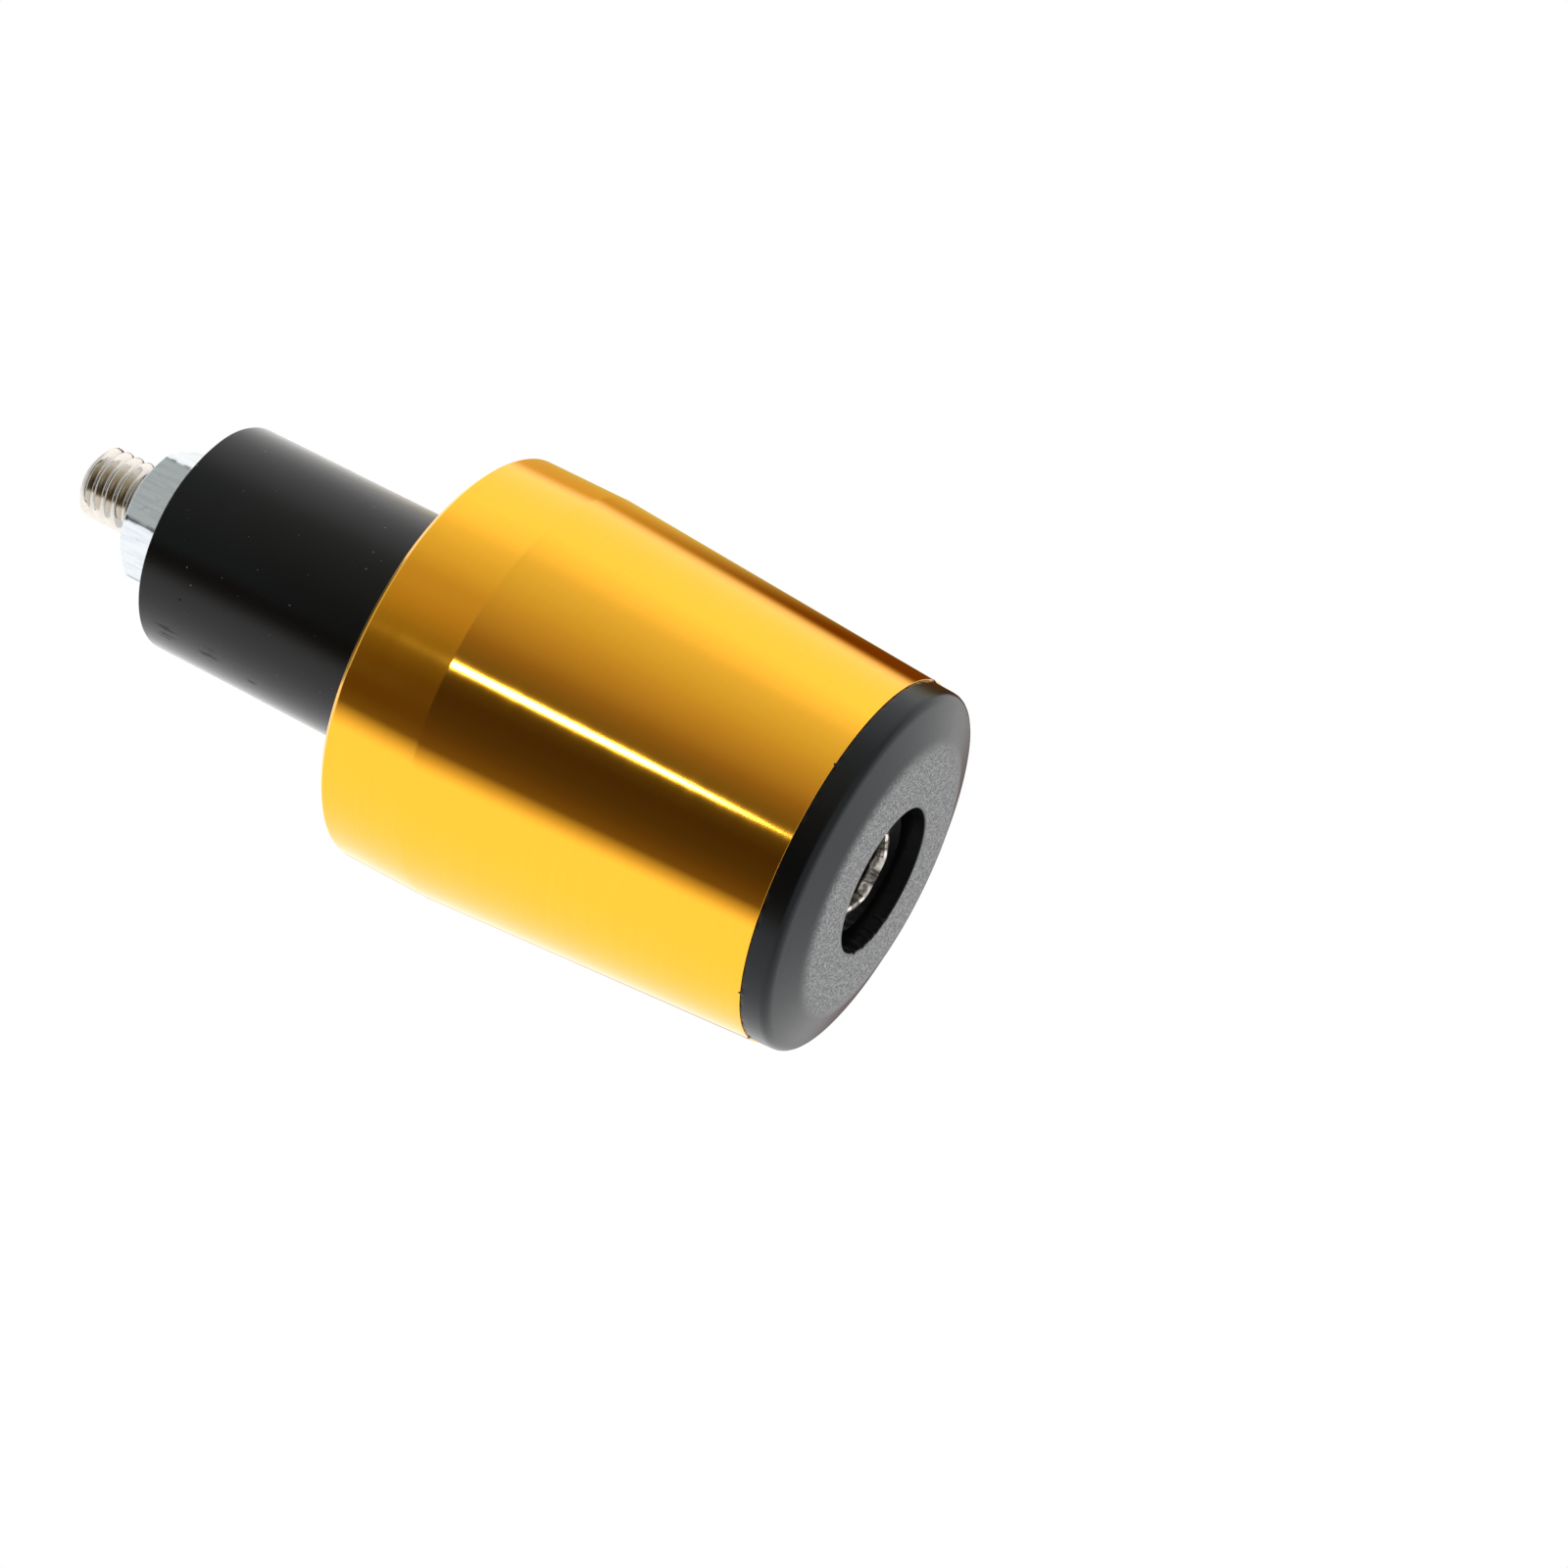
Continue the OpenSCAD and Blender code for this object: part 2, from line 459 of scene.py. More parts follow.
def weld(verts: np.ndarray, quads: np.ndarray) -> tuple[np.ndarray, np.ndarray, np.ndarray]:
    """Merge points that coincide, and mend the faces that had them.

    A quad with two corners at one point becomes a triangle, and one with fewer
    than three separate corners is left out.

    Args:
        verts: Points, in millimetres.
        quads: Four point numbers for each face.

    Returns:
        The points, the quads and the triangles.
    """
    keys = np.round(verts / WELD).astype(np.int64)
    _, first, where = np.unique(keys, axis=0, return_index=True, return_inverse=True)
    faces = where.ravel()[quads]
    twin = faces == np.roll(faces, -1, axis=1)
    twins = twin.sum(1)
    bent = faces[twins == 1]
    keep = ~twin[twins == 1]
    return verts[first], faces[twins == 0], bent[keep].reshape(-1, 3)


def build_piece(name: str, patches: Sequence[Patch], crease: float) -> bpy.types.Object:
    """Make a piece from patches that meet at their first and last rows.

    Args:
        name: The piece's name.
        patches: The patches, each closed round the axis.
        crease: Angle in degrees past which an edge is shaded sharp.

    Returns:
        The object, at the origin, with its place in its mesh.
    """
    sizes = [patch.points.shape[0] * patch.points.shape[1] for patch in patches]
    offsets = np.concatenate([[0], np.cumsum(sizes)[:-1]])
    all_quads = [patch.quads() + offset for patch, offset in zip(patches, offsets)]
    all_points = np.concatenate([patch.points.reshape(-1, 3) for patch in patches])
    verts, quads, tris = weld(all_points, np.concatenate(all_quads))
    mesh = bpy.data.meshes.new(name)
    mesh.from_pydata(verts * MM, [], quads.tolist() + tris.tolist())
    mesh.validate()
    mesh.shade_smooth()
    mesh.set_sharp_from_angle(angle=math.radians(crease))
    return put(name, mesh)


def hand_over(piece: bpy.types.Object, finish: Finish, dressed: bpy.types.Material) -> None:
    """Dress a piece, put it on the part's body and let it stand for its node.

    Args:
        piece: The piece.
        finish: Its slot, which also names its node.
        dressed: Its material.
    """
    piece.data.materials.append(dressed)
    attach(piece, BODY)
    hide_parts(finish.value)
    LOG.info("%s: %d faces", piece.name, len(piece.data.polygons))


# Finishes


@dataclass(frozen=True)
class GoldAnodising:
    """Bright gold anodised aluminium with fine turning lines."""

    tone: Triple = (1.0, 0.49, 0.04)
    shade: Triple = (0.93, 0.42, 0.03)
    roughness: float = 0.075
    spread: float = 0.5
    line_scale: float = 6000.0
    broad_scale: float = 900.0
    mottle_scale: float = 160.0
    cone: float = 0.6
    groove: float = 0.0000004

    def dress(self, band_z: float) -> bpy.types.Material:
        """Turning lines are noise that is far finer along the axis than round it.

        The radius counts in along the axis too, by cone, so that lines run on
        over the faces.

        Args:
            band_z: Height where the plain band starts, in metres.

        Returns:
            The material.
        """
        made, b = material("gold_anodised_turned")
        place, x, y, z, radius = b.turned()
        station = z + radius * self.cone
        lines = b.cloud(b.join(x * 0.004, y * 0.004, station), self.line_scale, 2.0, 0.6)
        broad = b.cloud(b.join(x * 0.02, y * 0.02, station), self.broad_scale)
        mottle = b.cloud(place, self.mottle_scale, 3.0)
        tone = b.mix(lines.between(0.35, 0.65) * 0.12 + mottle * 0.2, self.tone, self.shade)
        band = z.between(band_z - 0.0001, band_z + 0.0001)
        rough = self.roughness + (broad - 0.5) * 0.03 + band * 0.01
        b.surface(
            Base_Color=tone,
            Metallic=1.0,
            Roughness=rough,
            Anisotropic=self.spread,
            Anisotropic_Rotation=0.25,
            Normal=b.bump(lines, self.groove),
        )
        return made


@dataclass(frozen=True)
class MouldedPlastic:
    """Black moulded plastic: smooth on the side, grained on the flat."""

    tone: Triple = (0.0035, 0.0035, 0.0036)
    # The lighter grey that the flat is painted with, in specks.
    flat_grey: Triple = (0.27, 0.272, 0.275)
    gloss: Triple = (0.86, 0.94, 1.0)
    fine_scale: float = 7000.0
    coarse_scale: float = 2200.0
    speck_scale: float = 6300.0
    grain: float = 0.00004

    def dress(self, hole_r: float, flat_r: float, slope_z: float) -> bpy.types.Material:
        """The grain covers what faces down: the flat fully, the slope faintly.

        Args:
            hole_r: Radius of the hole, in metres.
            flat_r: Radius of the flat, in metres.
            slope_z: Height where the slope ends, in metres.

        Returns:
            The material.
        """
        made, b = material("black_moulded_plastic")
        place, _, _, z, radius = b.turned()
        flat = z.between(slope_z * 0.4, 0.0) * radius.between(flat_r + 0.0007, flat_r - 0.0011)
        slope = z.between(slope_z, slope_z * 0.8) * 0.3
        flat = flat * radius.between(hole_r + 0.0001, hole_r + 0.0003)
        fine = b.cloud(place, self.fine_scale, 2.0, 0.6)
        coarse = b.cloud(place, self.coarse_scale)
        grainy = flat.largest(slope)
        grit = fine * 0.6 + coarse * 0.4
        specks = (b.cloud(place, self.speck_scale, 1.0) + coarse * 0.5 - 0.25).between(0.40, 0.66)
        # The flat is painted a lighter grey, in light specks.
        tone = b.mix(flat * (0.16 + specks * 0.84), self.tone, self.flat_grey)
        b.surface(
            Base_Color=tone,
            Roughness=0.25 + grainy * 0.18 + (coarse - 0.5) * 0.06,
            Specular_IOR_Level=0.28,
            Specular_Tint=rgba(self.gloss),
            Normal=b.bump(grit * grainy, self.grain),
        )
        return made


@dataclass(frozen=True)
class NickelPlate:
    """Bright nickel plate on a cold-headed screw with a rolled thread."""

    tone: Triple = (0.70, 0.66, 0.605)
    dull: Triple = (0.44, 0.41, 0.38)
    # Painted shade colour for the head and socket, which sit deep in the cap's pocket.
    painted_shade: Triple = (0.07, 0.06, 0.05)
    thread_z: Span = (0.045, 0.047)
    head_z: Span = (0.0045, 0.0041)
    socket_r: Span = (0.0032, 0.0030)
    deep_z: Span = (0.0021, 0.0024)
    relief: float = 0.0000008

    def dress(self, root_r: float, crest_r: float) -> bpy.types.Material:
        """Thread roots are painted darker than crests, as shade in the grooves, and the head and its socket,
        sunk in the cap's pocket, carry painted shade.

        Each pair of heights or radii is where a zone begins and where it is whole.

        Args:
            root_r: Radius of the thread's root, in metres.
            crest_r: Radius of its crest, in metres.

        Returns:
            The material.
        """
        made, b = material("nickel_plate")
        place, x, y, z, radius = b.turned()
        # Painted shade: the thread roots are darkened, as if shaded in the grooves.
        root = radius.between(crest_r - 0.00005, root_r) * z.between(*self.thread_z)
        drag = b.cloud(b.join(x * 6.0, y * 6.0, z * 0.8), 700.0, 2.0, 0.6)
        stain = b.cloud(place, 900.0, 3.0, 0.6).between(0.52, 0.72)
        # Painted shade: the head, sunk in the cap's pocket, outside the socket.
        head = z.between(*self.head_z)
        socket = radius.between(*self.socket_r) * head
        forged = b.cloud(b.join(x * 1.2, y * 1.2, z * 3.0), 900.0, 3.0, 0.6)
        # Painted shade down the deep part of the socket, broken up by noise.
        deep = (z + forged * 0.0011).between(*self.deep_z) * forged.between(0.36, 0.56)
        streaks = b.cloud(b.join(x * 2.4, y * 2.4, z * 0.5), 1100.0).between(0.46, 0.6)
        # Painted shade in the middle of each socket facet, standing in for the dark reflections of the other
        # walls.
        middle = (y.angle_from(x) * 6.0 + math.pi / 2).sine().between(0.3, -0.6)
        wear_and_shade = middle * (0.8 + streaks * 0.35)
        # All of this is painted shade: the head round the socket, and the deep part and facet middles inside
        # it.
        painted_shade = (1.0 - socket) * head + socket * deep.largest(wear_and_shade)
        # The dull colour carries both the real random stains and the painted shade of the thread roots.
        tone = b.mix(root * 0.35 + stain * 0.35, self.tone, self.dull)
        # Lay the painted shade colour over these.
        tone = b.mix(painted_shade * 0.86, tone, self.painted_shade)
        b.surface(
            Base_Color=tone,
            Metallic=1.0,
            Roughness=0.05 + root * 0.05 + drag * 0.05 + socket * 0.12,
            Normal=b.bump(drag + forged * socket * 5.0, self.relief),
        )
        return made


@dataclass(frozen=True)
class BlueZinc:
    """Blue zinc plate with the fine drag marks of a forged and tapped nut."""

    tone: Triple = (0.70, 0.735, 0.76)
    dull: Triple = (0.46, 0.51, 0.55)
    bare: Triple = (0.11, 0.12, 0.13)
    nick_reach: float = 0.34
    relief: float = 0.000007

    def dress(self, corner_r: float, flange_z: float, nick: Triple) -> bpy.types.Material:
        """Streaks run along the axis, and the plate is thin along the corners.

        Args:
            corner_r: Radius to a corner of the hexagon, in metres.
            flange_z: Height where the flats begin, in metres.
            nick: A nicked corner, as an angle in degrees, a radius and a height.

        Returns:
            The material.
        """
        made, b = material("blue_zinc_plate")
        place, x, y, z, radius = b.turned()
        streak = b.cloud(b.join(x, y, z * 0.1), 3600.0, 3.0, 0.6)
        pits = b.cloud(place, 1500.0, 2.0).between(0.6, 0.74)
        corner = radius.between(corner_r - 0.00016, corner_r - 0.00005)
        corner = corner * z.between(flange_z + 0.0001, flange_z + 0.0004)
        thin = corner * b.cloud(place, 900.0, 2.0, 0.6).between(0.38, 0.58) * 0.6
        thin = thin.largest(b.spot(place, nick, self.nick_reach))
        tone = b.mix(streak.between(0.36, 0.66) * 0.35 + pits * 0.3, self.tone, self.dull)
        tone = b.mix(thin, tone, self.bare)
        b.surface(
            Base_Color=tone,
            Metallic=1.0,
            Roughness=0.2 + streak * 0.16,
            Normal=b.bump(streak + pits * 0.5, self.relief),
        )
        return made


@dataclass(frozen=True)
class BlackRubber:
    """Satin black rubber with dust specks and faint scuffs.

    A speck and the pinhole are an angle in degrees and a height in millimetres,
    and a scuff has its reach as well.
    """

    name: str
    tone: Triple = (0.0010, 0.0010, 0.0011)
    dust: Triple = (0.13, 0.125, 0.12)
    frayed: Triple = (0.10, 0.075, 0.055)
    gloss: Triple = (0.86, 0.94, 1.0)
    roughness: float = 0.26
    shine: float = 0.24
    side_r: float = 9.34
    rim_r: Span = (0.00918, 0.0093)
    relief: float = 0.000003
    speck_reach: float = 0.09
    pinhole_reach: float = 0.16
    specks: tuple[Span, ...] = (
        (190.5, 56.15), (183.5, 55.4), (262.0, 56.55), (261.0, 46.45),
        (227.2, 43.2), (251.5, 44.35), (235.2, 59.6),
    )
    scuffs: tuple[Triple, ...] = ((151.5, 57.4, 1.7), (149.0, 53.6, 1.5), (146.2, 49.4, 0.6))
    pinhole: Span = (174.2, 56.05)

    def dress(self, end_z: float) -> bpy.types.Material:
        """Knife marks cross the cut end; dust and dull scuffs lie on the side.

        Args:
            end_z: Height of the cut end, in metres.

        Returns:
            The material.
        """
        made, b = material(self.name)
        place, x, y, z, radius = b.turned()
        cut = z.between(end_z - 0.0002, end_z - 0.00002)
        blade = b.cloud(b.join(x * 0.03 + y * 0.04, y - x * 0.3, z * 0.03), 2500.0, 2.0, 0.6)
        skin = b.cloud(place, 700.0, 3.0)
        motes = b.cloud(place, 4300.0, 0.0).between(0.865, 0.89)
        scuff = b.cloud(b.join(x * 2.0, y * 2.0, z * 0.3), 420.0, 2.0).between(0.68, 0.8)
        # Here the mask is only the worn rim of the cut end, with no painted shade.
        wear_and_shade = z.between(end_z - 0.0002, end_z - 0.00005) * radius.between(*self.rim_r)
        dots = motes * 0.7
        for angle, height in self.specks:
            dots = dots.largest(b.spot(place, (angle, self.side_r, height), self.speck_reach))
        scratch = b.cloud(b.join(x, y, z * 0.14), 3400.0, 2.0, 0.6).between(0.53, 0.64)
        angle, height = self.pinhole
        dulled = b.spot(place, (angle, self.side_r, height), self.pinhole_reach) * 0.7
        for angle, height, reach in self.scuffs:
            mark = b.spot(place, (angle, self.side_r, height), reach)
            dulled = dulled.largest(mark * scratch * 0.6)
        tone = b.mix(dots + scuff * 0.02, self.tone, self.dust)
        tone = b.mix(wear_and_shade * blade.between(0.4, 0.6) * 0.5, tone, self.frayed)
        b.surface(
            Base_Color=tone,
            Roughness=self.roughness + (skin - 0.5) * 0.1 + cut * 0.12 + scuff * 0.08,
            Specular_IOR_Level=0.05,
            Specular_Tint=rgba(self.gloss),
            Coat_Weight=0.9 - dulled,
            Coat_IOR=1.33,
            Coat_Roughness=self.shine,
            Sheen_Weight=0.12,
            Sheen_Roughness=0.35,
            Normal=b.bump(skin * 0.3 + blade * cut * 3.0, self.relief),
        )
        return made


# The part


@dataclass
class Barrel:
    """The turned barrel: plain band, long taper, bore, and seats at both ends."""

    band_r: float = 16.5
    tip_r: float = 14.5
    seam_z: float = 3.1
    band_z: float = 30.5
    face_z: float = 37.9
    chamfer: float = 0.4
    tip_break: float = 0.015
    spot_r: float = 9.45
    spot_z: float = 37.8
    bore_r: float = 3.3
    recess_r: float = 10.08
    recess_z: float = 8.0
    edge: float = 0.3
    columns: int = 384
    finish: GoldAnodising = field(default_factory=GoldAnodising)

    def build(self) -> bpy.types.Object:
        """Turn the section, with a fine step where the outside shows.

        Returns:
            The piece.
        """
        corners = [
            Corner(self.tip_r - self.tip_break, self.seam_z, 0.0, 0.2),
            Corner(self.tip_r, self.seam_z + self.tip_break, 0.0, 0.6),
            Corner(self.band_r, self.band_z, 0.08, 0.5),
            Corner(self.band_r, self.face_z - self.chamfer, 0.06, 0.2),
            Corner(self.band_r - self.chamfer, self.face_z, 0.06, 0.4),
            Corner(self.spot_r, self.face_z, 0.02, 0.2),
            Corner(self.spot_r, self.spot_z, 0.0, 0.6),
            Corner(self.bore_r + self.edge, self.spot_z, 0.05, 0.3),
            Corner(self.bore_r, self.spot_z - self.edge, 0.05, 3.0),
            Corner(self.bore_r, self.recess_z, 0.05, 1.0),
            Corner(self.recess_r, self.recess_z, 0.05, 1.0),
            Corner(self.recess_r, self.seam_z + self.edge, 0.05, 0.3),
            Corner(self.recess_r + self.edge, self.seam_z, 0.05, 0.5),
        ]
        section = half_section(corners, self.columns, closed=True)
        return build_piece("gold_barrel", [Patch(turn(section))], crease=30)

    def fit(self) -> None:
        """Build and dress the barrel."""
        hand_over(self.build(), Finish.BARREL, self.finish.dress(self.band_z * MM))


@dataclass
class EndCap:
    """The moulded end cap: flat, slope, side, pocket for the head, spigot."""

    flat_r: float = 10.75
    slope_z: float = 1.05
    side_r: float = 14.4
    draft: float = 3.0
    seam_z: float = 3.1
    hole_r: float = 5.8
    hole_break: float = 0.06
    spigot_r: float = 10.0
    spigot_z: float = 7.8
    floor_z: float = 5.8
    bore_r: float = 3.3
    edge: float = 0.3
    columns: int = 384
    bite: float = 0.27
    bitten: Triple = (45, 112, 14)
    ruffle: float = 0.05
    burrs: tuple[float, ...] = (125.5, 155.7, 230.5, 234.0, 293.4)
    burr_turn: float = 0.45
    burr_out: float = 0.2
    burr_up: float = 0.12
    finish: MouldedPlastic = field(default_factory=MouldedPlastic)

    def build(self) -> bpy.types.Object:
        """Turn the section, then nibble the hole's rim and ruffle the seam.

        The rim is cut back by bite * wave(angle) over the bitten angles, which
        dies out down the pocket and over half a millimetre of the flat. A burr of
        the seam stands out by burr_out * exp(-((angle - burr) / burr_turn)^2).

        Returns:
            The piece.
        """
        foot_r = self.side_r - (self.seam_z - self.slope_z) * math.tan(math.radians(self.draft))
        corners = [
            Corner(self.hole_r, self.hole_break, 0.02, 0.1),
            Corner(self.hole_r + self.hole_break, 0.0, 0.02, 0.1),
            Corner(self.flat_r, 0.0, 0.7, 0.3),
            Corner(foot_r, self.slope_z, 0.55, 0.25),
            Corner(self.side_r, self.seam_z, 0.03, 0.6),
            Corner(self.spigot_r, self.seam_z, 0.05, 0.8),
            Corner(self.spigot_r, self.spigot_z - self.edge, 0.05, 0.3),
            Corner(self.spigot_r - self.edge, self.spigot_z, 0.05, 0.8),
            Corner(self.bore_r, self.spigot_z, 0.05, 0.8),
            Corner(self.bore_r, self.floor_z, 0.05, 0.6),
            Corner(self.hole_r, self.floor_z, 0.05, 0.25),
        ]
        section = half_section(corners, self.columns, closed=True)
        a = np.degrees(angles(self.columns))
        r, z = section[..., 0], section[..., 1]
        near_rim = window(r, self.hole_r - 0.05, self.hole_r + 0.4, 0.5) * np.clip(1 - z / 1.3, 0, 1)
        bites = np.clip(ripple(np.radians(a), 11, (16, 60)) * 2.0 - 0.1, 0, 1)
        section[..., 0] += self.bite * near_rim * bites * window(a, *self.bitten)
        near_seam = window(z, self.seam_z - 0.15, self.seam_z + 0.15, 0.2) * (r > self.spigot_r + 1)
        frill = np.clip(ripple(np.radians(a), 12, (30, 90)), 0, 1)
        section[..., 0] -= self.ruffle * near_seam * frill
        burrs = np.exp(-(((a[:, None] - np.array(self.burrs)) / self.burr_turn) ** 2)).sum(1)
        section[..., 0] += self.burr_out * near_seam * burrs
        section[..., 1] += self.burr_up * near_seam * burrs
        return build_piece("end_cap_moulding", [Patch(turn(section))], crease=50)

    def fit(self) -> None:
        """Build and dress the end cap."""
        sizes = (self.hole_r * MM, self.flat_r * MM, self.slope_z * MM)
        hand_over(self.build(), Finish.END_CAP, self.finish.dress(*sizes))


@dataclass
class SocketScrew:
    """The through screw: hexagon socket, head, shank and rolled thread."""

    head_r: float = 5.0
    face_z: float = 1.4
    seat_z: float = 5.8
    shank_r: float = 3.0
    thread_z: float = 46.8
    end_z: float = 70.8
    crest_r: float = 2.95
    root_r: float = 2.36
    pitch: float = 1.0
    crest: float = 0.05
    crest_soft: float = 0.045
    root_soft: float = 0.1
    point: float = 0.3
    runin: float = 2.0
    runout: float = 0.9
    edge: float = 0.3
    socket_af: float = 5.0
    socket_depth: float = 2.6
    socket_rounding: float = 90
    bevel: float = 0.32
    bevel_rounding: float = 26
    bevel_run: float = 2.4
    bevel_knee: float = 0.4
    columns: int = 156
    finish: NickelPlate = field(default_factory=NickelPlate)

    @staticmethod
    def shares() -> np.ndarray:
        """Places of the rows over one pitch, closer where the thread turns."""
        half = np.array([0.0, 0.025, 0.05, 0.08, 0.12, 0.19, 0.27, 0.34, 0.39, 0.43, 0.465])
        return np.concatenate([half, 1 - half[:0:-1]])

    def fall(self, share: np.ndarray) -> np.ndarray:
        """Depth of the thread at shares of its pitch, with a crest at each whole.

        With t the distance from the middle of the nearest crest, a flank falls
        by (t - crest / 2) / tan 30 deg. A soft maximum with 0 eases the crest's
        edges, and a soft minimum with the full depth rounds the root.

        Args:
            share: Heights in pitches, with a crest at each whole number.

        Returns:
            The depths under the crest, in millimetres.
        """
        share = np.mod(share, 1)
        t = np.minimum(share, 1 - share) * self.pitch
        fall = (t - self.crest / 2) / math.tan(math.radians(30))
        fall = (fall + np.sqrt(fall**2 + self.crest_soft**2)) / 2
        depth = self.crest_r - self.root_r
        gap = depth - fall
        return depth - (gap + np.sqrt(gap**2 + self.root_soft**2)) / 2

    def thread(self) -> np.ndarray:
        """Points of the thread, whose rows climb one pitch in a turn.

        A row's height is start - pitch + pitch * (share + a / 360 deg), held
        between the thread's start and end, and its depth is that of the thread
        there. Past the end the rows coincide, for a turn and more, so that the
        last turn closes when they are welded. The depth fades in from the shank
        and out at the point, whose cone cuts the last turn.

        Returns:
            An array of rows, columns and (r, z).
        """
        a = angles(self.columns)
        turns = math.ceil((self.end_z - self.thread_z) / self.pitch) + 2
        share = np.append((np.arange(turns)[:, None] + self.shares()).ravel(), turns)
        z = self.thread_z + self.pitch * (share[:, None] - 1 + a / (2 * np.pi))
        z = np.clip(z, self.thread_z, self.end_z)
        depth = self.fall((z - self.thread_z) / self.pitch - a / (2 * np.pi))
        grown = np.clip((z - self.thread_z) / self.runin, 0, 1)
        left = np.clip((self.end_z - z) / self.runout, 0, 1)
        plain = self.crest_r + (self.shank_r - self.crest_r) * (1 - grown)
        point = self.crest_r - self.point + self.end_z - z
        return np.stack([np.minimum(plain - grown * left * depth, point), z], -1)

    def build(self) -> bpy.types.Object:
        """Run one section from the middle of the socket to the end of the thread.

        Returns:
            The piece.
        """
        a = angles(self.columns)
        inner = self.socket_af / 2 / towards_flat(a, self.socket_rounding)
        outer = (self.socket_af / 2 + self.bevel) / towards_flat(a, self.bevel_rounding)
        floor_z = self.face_z + self.socket_depth
        knee = self.bevel_knee
        corners = [
            Corner(0.0, floor_z, 0.0, 1.0),
            Corner(inner, floor_z, 0.06, 0.3),
            Corner(inner, self.face_z + self.bevel_run * self.bevel, 0.1, 0.15),
            Corner(inner * knee + outer * (1 - knee), self.face_z + knee * self.bevel, 0.02, 0.15),
            Corner(outer, self.face_z, 0.02, 0.3),
            Corner(self.head_r, self.face_z, self.edge, 0.4),
            Corner(self.head_r, self.seat_z, 0.1, 0.4),
            Corner(self.shank_r, self.seat_z, 0.1, 1.5),
            Corner(self.shank_r, self.thread_z, 0.0, 1.0),
        ]
        head = turn(half_section(corners, self.columns, closed=False))
        thread = turn(self.thread())
        head[-1] = thread[0]
        shrink = np.array([1.0, 0.5, 0.0])[:, None, None]
        end = thread[-1:] * np.concatenate([shrink, shrink, np.ones_like(shrink)], -1)
        patches = [Patch(head), Patch(thread, len(self.shares())), Patch(end)]
        return build_piece("socket_screw", patches, crease=40)

    def fit(self) -> None:
        """Build and dress the screw."""
        hand_over(self.build(), Finish.SCREW, self.finish.dress(self.root_r * MM, self.crest_r * MM))


@dataclass
class FlangeNut:
    """The flange nut: six sloping faces run out from the flats to a round rim."""

    base_z: float = 59.2
    height: float = 6.0
    across_flats: float = 10.0
    flange_r: float = 7.1
    flange_h: float = 1.95
    slope: float = 22.0
    top_r: float = 4.65
    chamfer: float = 35.0
    bore_r: float = 2.98
    sink: float = 0.45
    turned: float = 11.6
    rounding: float = 90
    nick_under: float = 0.8
    nick_inside: float = 0.05
    columns: int = 384
    finish: BlueZinc = field(default_factory=BlueZinc)

    def build(self) -> bpy.types.Object:
        """Run one closed section round the bore, for every angle at once.

        A slope's height is flange_h - (r * spread - flat) * tan(slope), and the
        chamfer's is height - (r - top_r) * tan(chamfer).

        Returns:
            The piece.
        """
        a = angles(self.columns) - math.radians(self.turned)
        spread = towards_flat(a, self.rounding)
        flat = self.across_flats / 2
        corner_r = flat / spread
        fall = math.tan(math.radians(self.slope))
        rim_z = self.flange_h - (self.flange_r * spread - flat) * fall
        chamfer_z = self.height - (corner_r - self.top_r) * math.tan(math.radians(self.chamfer))
        mouth_r = self.bore_r + self.sink
        corners = [
            Corner(self.bore_r, self.sink, 0.04, 0.2),
            Corner(mouth_r, 0.0, 0.04, 0.6),
            Corner(self.flange_r, 0.0, 0.12, 0.25),
            Corner(self.flange_r, rim_z, 0.1, 0.25),
            Corner(corner_r, self.flange_h, 0.1, 0.3),
            Corner(corner_r, chamfer_z, 0.07, 0.2),
            Corner(self.top_r, self.height, 0.08, 0.2),
            Corner(mouth_r, self.height, 0.04, 0.2),
            Corner(self.bore_r, self.height - self.sink, 0.04, 0.6),
        ]
        section = half_section(corners, self.columns, closed=True)
        section[..., 1] += self.base_z
        return build_piece("flange_nut_forging", [Patch(turn(section))], crease=40)

    def fit(self) -> None:
        """Build and dress the nut, with its nick opposite the corner at turned."""
        corner_r = self.across_flats / 2 / math.cos(math.pi / 6)
        foot = (self.base_z + self.flange_h) * MM
        nick_z = self.base_z + self.height - self.nick_under
        nick = (self.turned + 180.0, corner_r - self.nick_inside, nick_z)
        hand_over(self.build(), Finish.FLANGE_NUT, self.finish.dress(corner_r * MM, foot, nick))


